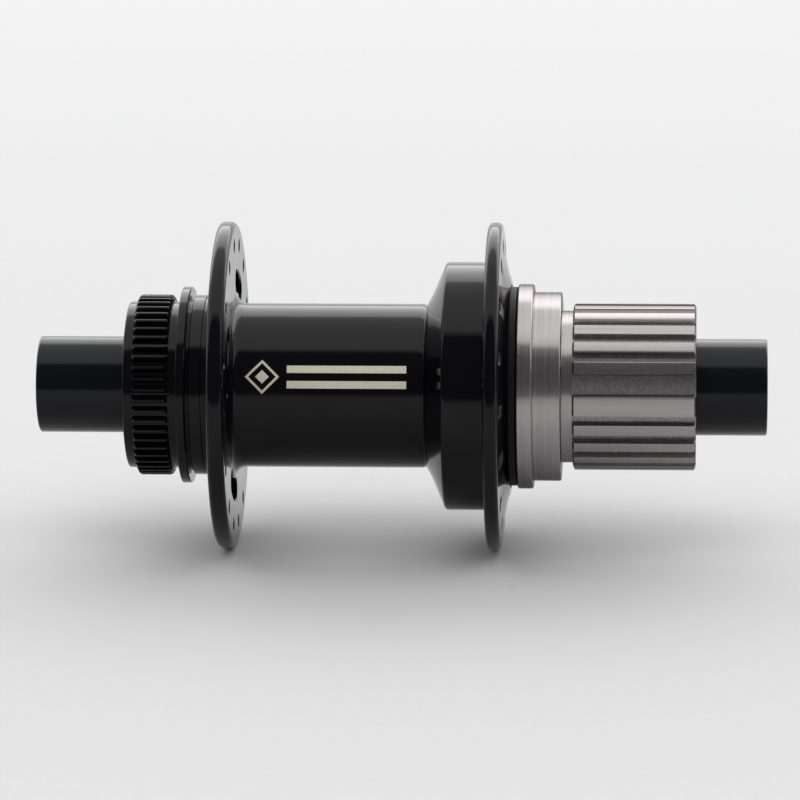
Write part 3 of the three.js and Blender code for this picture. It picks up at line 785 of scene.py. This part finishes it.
BEARINGS = {
    "left_shell_bearing": "hub_shell", "right_shell_bearing": "hub_shell",
    "inner_freehub_bearing": "freehub", "outer_freehub_bearing": "freehub",
}
RACE_SIZES = {  # bore, inner race's land, outer race's land, ball radius
    "hub_shell": (7.6, 9.0, 12.4, 1.95), "freehub": (7.6, 8.9, 11.7, 1.75),
}
BALLS, BALL_PHASE = 12, 7.5
RACEWAY_SHARE = 1.04  # a raceway's radius, as a share of the ball's
CAGE_HALF_WIDTH, CAGE_HALF_DEPTH, CAGE_ROOM = 2.45, 0.65, 0.12
SEAL_GAP = 0.35  # between a seal's lip and the inner race's land
SEAL_RIM, SEAL_WEB, SEAL_DISH, SEAL_LIP = 0.5, 0.75, 0.25, 0.3  # edges, where the web starts, depths


def raceway(middle, pitch, ball, land, side):
    """The arc of a ball groove between its two lands, from the last station to the first."""
    radius = ball * RACEWAY_SHARE
    half = math.acos(abs(land - pitch) / radius)
    turns = [half * (1 - k / 6) for k in range(13)]
    return [(middle + radius * math.sin(a), pitch + side * radius * math.cos(a), 0.0) for a in turns]


def build_bearing(name, body):
    bore, inner, land, ball = RACE_SIZES[body]
    start, end, outer = span(f"{name}_outer_race")
    middle, pitch = (start + end) / 2, (inner + land) / 2
    corners = [
        (start, outer, 0.35), (end, outer, 0.35), (end, land, 0.1),
        *raceway(middle, pitch, ball, land, 1), (start, land, 0.1),
    ]
    turned_piece(f"{name}_outer", corners, body, "bearing_steel", f"{name}_outer_race", 120)
    corners = [
        (start, bore, 0.35), (end, bore, 0.35), (end, inner, 0.1),
        *raceway(middle, pitch, ball, inner, -1), (start, inner, 0.1),
    ]
    turned_piece(f"{name}_inner", corners, "axle", "bearing_steel", f"{name}_inner_race", 120)
    build_balls(name, middle, pitch, ball)
    for side, node in ((-1, f"{name}_left_seal"), (1, f"{name}_right_seal")):
        build_seal(node, side, body, inner + SEAL_GAP)


def sphere(name, centre, radius):
    work = bmesh.new()
    bmesh.ops.create_uvsphere(work, u_segments=24, v_segments=16, radius=radius * MM)
    bmesh.ops.translate(work, verts=work.verts, vec=Vector(centre) * MM)
    mesh = bpy.data.meshes.new(name)
    work.to_mesh(mesh)
    work.free()
    obj = bpy.data.objects.new(name, mesh)
    bpy.context.scene.collection.objects.link(obj)
    return obj


def build_balls(name, middle, pitch, ball):
    corners = [
        (middle + side * CAGE_HALF_WIDTH, pitch + rise * CAGE_HALF_DEPTH, 0.2)
        for side, rise in ((-1, -1), (-1, 1), (1, 1), (1, -1))
    ]
    places = [polar(pitch, a) for a in even_angles(BALLS, BALL_PHASE)]
    cage = revolve(f"{name}_cage", rounded(corners), even_angles(120))
    cut(cage, [sphere("pocket", (x, -middle, z), ball + CAGE_ROOM) for x, z in places])
    place(cage, f"{name}_cage", "cage_nylon", f"{name}_ball_cage")
    balls = join(f"{name}_balls", [sphere("ball", (x, -middle, z), ball) for x, z in places])
    place(balls, f"{name}_cage", "bearing_steel")


def build_seal(node, side, body, lip):
    """A rubber seal: a thick rim, a thin dished web and a lip that nearly meets the inner race."""
    first, last, rim = span(node)
    near, far = near_and_far(side, first, last)
    corners = mirrored(side, [
        (near, lip + SEAL_RIM, 0.05), (near, rim, 0.15), (far, rim, 0.15), (far, rim - SEAL_RIM, 0.1),
        (far - SEAL_DISH, rim - SEAL_WEB, 0.1), (far - SEAL_DISH, lip + SEAL_WEB, 0.1),
        (far, lip + SEAL_RIM, 0.1), (far, lip, 0.1), (far - SEAL_LIP, lip, 0.05),
    ])
    turned_piece(node + "_ring", corners, body, "seal_rubber", node, 96)


# ---------------------------------------------------------------- studio

VIEW_ELEVATION = math.radians(14)
VIEW_YAW = math.radians(3.2)
VIEW_DISTANCE = 1.0  # metres
VIEW_TILT = math.radians(0.3)
VIEW_OFFSET = (-0.55, -2.8)  # where the camera aims, right and up of the hub's middle
PIXELS_PER_MM = 5.118
SENSOR_WIDTH = 36.0
IMAGE_SIZE = 800

# Lamps as (distance, angle round the axle, width, height, radiance), in metres. The fill leaves no
# highlight on the hub.
SOFTBOX = (1.7, 145.0, 4.2, 1.17, 2.2)
FILL = (2.5, 60.0, 3.0, 2.0, 1.7)
# Brightness of the surroundings by angle: 0 is level towards the camera, 90 overhead, 180 level behind.
SKY = [(0, 0.12), (61, 0.14), (66, 1.5), (90, 1.45), (120, 1.35), (150, 1.3), (180, 1.15)]
SKY_SCALE = 2.0  # a ramp's colours stay under 1, so they are halved and then scaled back
FLOOR_HALF = 40.0  # metres
FLOOR_DARK, FLOOR_LIGHT = (0.455, 0.455, 0.46, 1.0), (0.465, 0.465, 0.47, 1.0)


def add_camera():
    towards = Vector((
        -math.cos(VIEW_ELEVATION) * math.cos(VIEW_YAW), -math.sin(VIEW_YAW),
        math.sin(VIEW_ELEVATION) * math.cos(VIEW_YAW),
    ))
    turn = towards.to_track_quat("Z", "Y")
    right, up = turn @ Vector((1, 0, 0)), turn @ Vector((0, 1, 0))
    drop = math.atan2(up.y, -right.y)
    turn = turn @ Quaternion((0, 0, 1), VIEW_TILT - drop)
    right, up = turn @ Vector((1, 0, 0)), turn @ Vector((0, 1, 0))
    data = bpy.data.cameras.new("camera")
    data.sensor_width = SENSOR_WIDTH
    data.lens = PIXELS_PER_MM * VIEW_DISTANCE / MM * SENSOR_WIDTH / IMAGE_SIZE
    data.clip_start, data.clip_end = 0.05, 50.0
    camera = bpy.data.objects.new("camera", data)
    aim = (right * VIEW_OFFSET[0] + up * VIEW_OFFSET[1]) * MM
    camera.location = aim + towards * VIEW_DISTANCE
    camera.rotation_euler = turn.to_euler()
    bpy.context.scene.collection.objects.link(camera)
    bpy.context.scene.camera = camera


def add_lamp(name, distance, angle, width, height, radiance, highlight=True):
    """A wide soft box that faces the hub."""
    data = bpy.data.lights.new(name, "AREA")
    data.shape = "RECTANGLE"
    data.size, data.size_y = width, height
    data.energy = radiance * width * height * math.pi
    lamp = bpy.data.objects.new(name, data)
    x, z = polar(distance, angle)
    lamp.location = (x, 0.0, z)
    lamp.rotation_euler = Vector(lamp.location).to_track_quat("Z", "Y").to_euler()
    lamp.visible_camera = False
    lamp.visible_glossy = highlight
    bpy.context.scene.collection.objects.link(lamp)


def add_floor():
    signs = [(-1, -1), (1, -1), (1, 1), (-1, 1)]
    corners = [(x * FLOOR_HALF, y * FLOOR_HALF, FLOOR_Z) for x, y in signs]
    floor = make_mesh("floor", corners, [(0, 1, 2, 3)])
    n = Nodes("floor_paper")
    grain = n.spread(n.noise(n.place, 900.0, 3.0, 0.5), 0.0, 1.0)
    n.set(Base_Color=n.mix(grain, FLOOR_DARK, FLOOR_LIGHT))
    n.set(Roughness=0.9, IOR=1.15)
    floor.data.materials.append(n.material)


def add_world():
    """A soft studio: bright above and behind the hub, dim on the side that the camera stands on."""
    world = bpy.data.worlds.new("studio")
    bpy.context.scene.world = world
    world.use_nodes = True
    tree = world.node_tree
    back = tree.nodes["Background"]
    coord = tree.nodes.new("ShaderNodeTexCoord")
    split = tree.nodes.new("ShaderNodeSeparateXYZ")
    tree.links.new(coord.outputs["Generated"], split.inputs[0])

    def calc(operation, first, second):
        made = tree.nodes.new("ShaderNodeMath")
        made.operation = operation
        tree.links.new(first, made.inputs[0])
        if isinstance(second, float):
            made.inputs[1].default_value = second
        else:
            tree.links.new(second, made.inputs[1])
        return made.outputs[0]

    x, _, z = split.outputs
    angle = calc("ARCTAN2", z, calc("MULTIPLY", x, -1.0))
    ramp = tree.nodes.new("ShaderNodeValToRGB")
    tree.links.new(calc("DIVIDE", angle, math.pi), ramp.inputs[0])
    while len(ramp.color_ramp.elements) < len(SKY):
        ramp.color_ramp.elements.new(1.0)
    for element, (at, value) in zip(ramp.color_ramp.elements, SKY):
        element.position = at / 180
        element.color = (value / SKY_SCALE,) * 3 + (1.0,)
    tree.links.new(ramp.outputs[0], back.inputs[0])
    back.inputs[1].default_value = SKY_SCALE


# ---------------------------------------------------------------- everything

MATERIALS = {
    "shell_black": black_anodised("shell_black", (0.002, 0.002, 0.003), 0.1, 1.3, printed=True),
    "end_cap_black": black_anodised("end_cap_black", (0.003, 0.0035, 0.005), 0.14, 1.31),
    "freehub_silver": satin_silver("freehub_silver"),
    "axle_alloy": ground_steel("axle_alloy", (0.42, 0.42, 0.43), 0.35),
    "bearing_steel": ground_steel("bearing_steel", (0.6, 0.6, 0.61), 0.2),
    "tool_steel": ground_steel("tool_steel", (0.3, 0.3, 0.31), 0.3),
    "spring_steel": ground_steel("spring_steel", (0.5, 0.5, 0.51), 0.28),
    "seal_rubber": moulded("seal_rubber", (0.006, 0.006, 0.006), 0.6),
    "cage_nylon": moulded("cage_nylon", (0.55, 0.5, 0.4), 0.5),
}

add_camera()
add_lamp("softbox", *SOFTBOX)
add_lamp("fill", *FILL, highlight=False)
add_floor()
add_world()
bpy.context.scene.view_settings.view_transform = "Standard"

build_shell()
build_ratchet()
build_body()
build_pawls()
build_caps()
build_axle()
build_covers()
build_o_rings()
build_snap_ring()
build_ring("freehub_seal", "freehub", BODY_SEAL_BORE, "seal_rubber", 0.25)
for bearing, carrier in BEARINGS.items():
    build_bearing(bearing, carrier)
